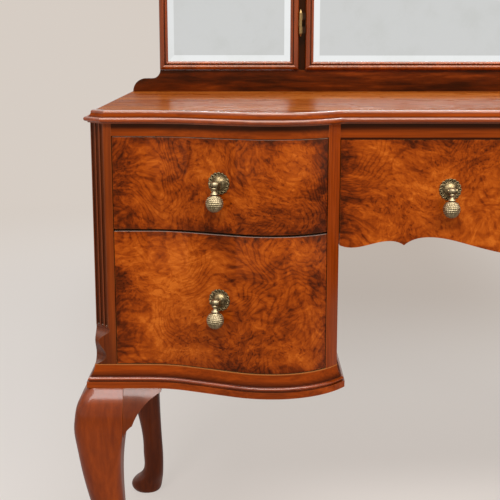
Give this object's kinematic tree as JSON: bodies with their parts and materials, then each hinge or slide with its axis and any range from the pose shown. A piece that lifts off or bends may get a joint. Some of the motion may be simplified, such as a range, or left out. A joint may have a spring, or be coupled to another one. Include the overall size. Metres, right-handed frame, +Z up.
{
  "type": "dressing table",
  "caption": "Kneehole dressing table with serpentine drawer pedestals, a shaped centre drawer, cabriole legs, pear-drop handles and hinged wing mirrors.",
  "frame": {"origin": "on the floor, in the middle of the overall box in X and Y", "axes": "+X to the right seen from the front, +Y to the back where the mirrors stand, +Z up"},
  "size_m": [1.2798, 0.5887, 1.5025],
  "materials": {
    "burr_walnut": "polished burr veneer",
    "walnut": "polished straight-grained veneer",
    "leg_wood": "polished, dark red-brown",
    "frame_wood": "polished, dark red-brown",
    "drawer_lining": "plain planed timber",
    "backing_board": "plain thin board",
    "antique_brass": "cast, with dark patina in the hollows",
    "mirror_glass": "silvered, bevelled margin"
  },
  "bodies": {
    "carcase": {"table_top": "walnut", "top_lipping": "walnut", "left_outer_side": "walnut", "right_outer_side": "walnut", "left_inner_side": "walnut", "right_inner_side": "walnut", "left_corner_post": "walnut", "right_corner_post": "walnut", "left_inner_stile": "walnut", "right_inner_stile": "walnut", "pedestal_top_rails": "walnut", "left_plinth": "walnut", "right_plinth": "walnut", "centre_top_rail": "walnut", "pedestal_floors": "drawer_lining", "dust_boards": "drawer_lining", "drawer_runners": "drawer_lining", "centre_back_rail": "drawer_lining", "pedestal_backs": "backing_board", "front_left_leg": "leg_wood", "front_right_leg": "leg_wood", "rear_left_leg": "leg_wood", "rear_right_leg": "leg_wood", "knee_brackets": "leg_wood", "mirror_base_board": "frame_wood", "mirror_standards": "frame_wood", "centre_mirror_frame": "frame_wood", "standard_screws": "antique_brass", "fixed_hinge_leaves": "antique_brass", "centre_mirror_glass": "mirror_glass", "centre_mirror_back": "backing_board"},
    "left_upper_drawer": {"left_upper_drawer_front": "burr_walnut", "left_upper_drawer_box": "drawer_lining", "left_upper_handle": "antique_brass"},
    "left_upper_drop": {"left_upper_pendant": "antique_brass"},
    "left_lower_drawer": {"left_lower_drawer_front": "burr_walnut", "left_lower_drawer_box": "drawer_lining", "left_lower_handle": "antique_brass"},
    "left_lower_drop": {"left_lower_pendant": "antique_brass"},
    "right_upper_drawer": {"right_upper_drawer_front": "burr_walnut", "right_upper_drawer_box": "drawer_lining", "right_upper_handle": "antique_brass"},
    "right_upper_drop": {"right_upper_pendant": "antique_brass"},
    "right_lower_drawer": {"right_lower_drawer_front": "burr_walnut", "right_lower_drawer_box": "drawer_lining", "right_lower_handle": "antique_brass"},
    "right_lower_drop": {"right_lower_pendant": "antique_brass"},
    "centre_drawer": {"centre_drawer_front": "burr_walnut", "centre_drawer_box": "drawer_lining", "centre_handles": "antique_brass"},
    "centre_left_drop": {"centre_left_pendant": "antique_brass"},
    "centre_right_drop": {"centre_right_pendant": "antique_brass"},
    "left_wing": {"left_wing_frame": "frame_wood", "left_wing_glass": "mirror_glass", "left_wing_back": "backing_board", "left_wing_hinges": "antique_brass"},
    "right_wing": {"right_wing_frame": "frame_wood", "right_wing_glass": "mirror_glass", "right_wing_back": "backing_board", "right_wing_hinges": "antique_brass"}
  },
  "joints": [
    {"name": "left_upper_drawer_slide", "type": "slide", "parent": "carcase", "child": "left_upper_drawer", "axis": [0, -1, 0], "range_m": [0, 0.33]},
    {"name": "left_upper_drop_swing", "type": "hinge", "parent": "left_upper_drawer", "child": "left_upper_drop", "pos_m": [-0.43322, -0.27987, 0.6732], "axis": [-0.9278, 0.373, 0], "range_deg": [-6, 110]},
    {"name": "left_lower_drawer_slide", "type": "slide", "parent": "carcase", "child": "left_lower_drawer", "axis": [0, -1, 0], "range_m": [0, 0.33]},
    {"name": "left_lower_drop_swing", "type": "hinge", "parent": "left_lower_drawer", "child": "left_lower_drop", "pos_m": [-0.43322, -0.27987, 0.5092], "axis": [-0.9278, 0.373, 0], "range_deg": [-6, 110]},
    {"name": "right_upper_drawer_slide", "type": "slide", "parent": "carcase", "child": "right_upper_drawer", "axis": [0, -1, 0], "range_m": [0, 0.33]},
    {"name": "right_upper_drop_swing", "type": "hinge", "parent": "right_upper_drawer", "child": "right_upper_drop", "pos_m": [0.43322, -0.27987, 0.6732], "axis": [-0.9278, -0.373, 0], "range_deg": [-6, 110]},
    {"name": "right_lower_drawer_slide", "type": "slide", "parent": "carcase", "child": "right_lower_drawer", "axis": [0, -1, 0], "range_m": [0, 0.33]},
    {"name": "right_lower_drop_swing", "type": "hinge", "parent": "right_lower_drawer", "child": "right_lower_drop", "pos_m": [0.43322, -0.27987, 0.5092], "axis": [-0.9278, -0.373, 0], "range_deg": [-6, 110]},
    {"name": "centre_drawer_slide", "type": "slide", "parent": "carcase", "child": "centre_drawer", "axis": [0, -1, 0], "range_m": [0, 0.33]},
    {"name": "centre_left_drop_swing", "type": "hinge", "parent": "centre_drawer", "child": "centre_left_drop", "pos_m": [-0.106, -0.2521, 0.6605], "axis": [-1, 0, 0], "range_deg": [-6, 110]},
    {"name": "centre_right_drop_swing", "type": "hinge", "parent": "centre_drawer", "child": "centre_right_drop", "pos_m": [0.106, -0.2521, 0.6605], "axis": [-1, 0, 0], "range_deg": [-6, 110]},
    {"name": "left_wing_swing", "type": "hinge", "parent": "carcase", "child": "left_wing", "pos_m": [-0.2938, 0.2489, 1.081], "axis": [0, 0, 1], "range_deg": [0, 150]},
    {"name": "right_wing_swing", "type": "hinge", "parent": "carcase", "child": "right_wing", "pos_m": [0.2938, 0.2489, 1.081], "axis": [0, 0, -1], "range_deg": [0, 150]}
  ]
}
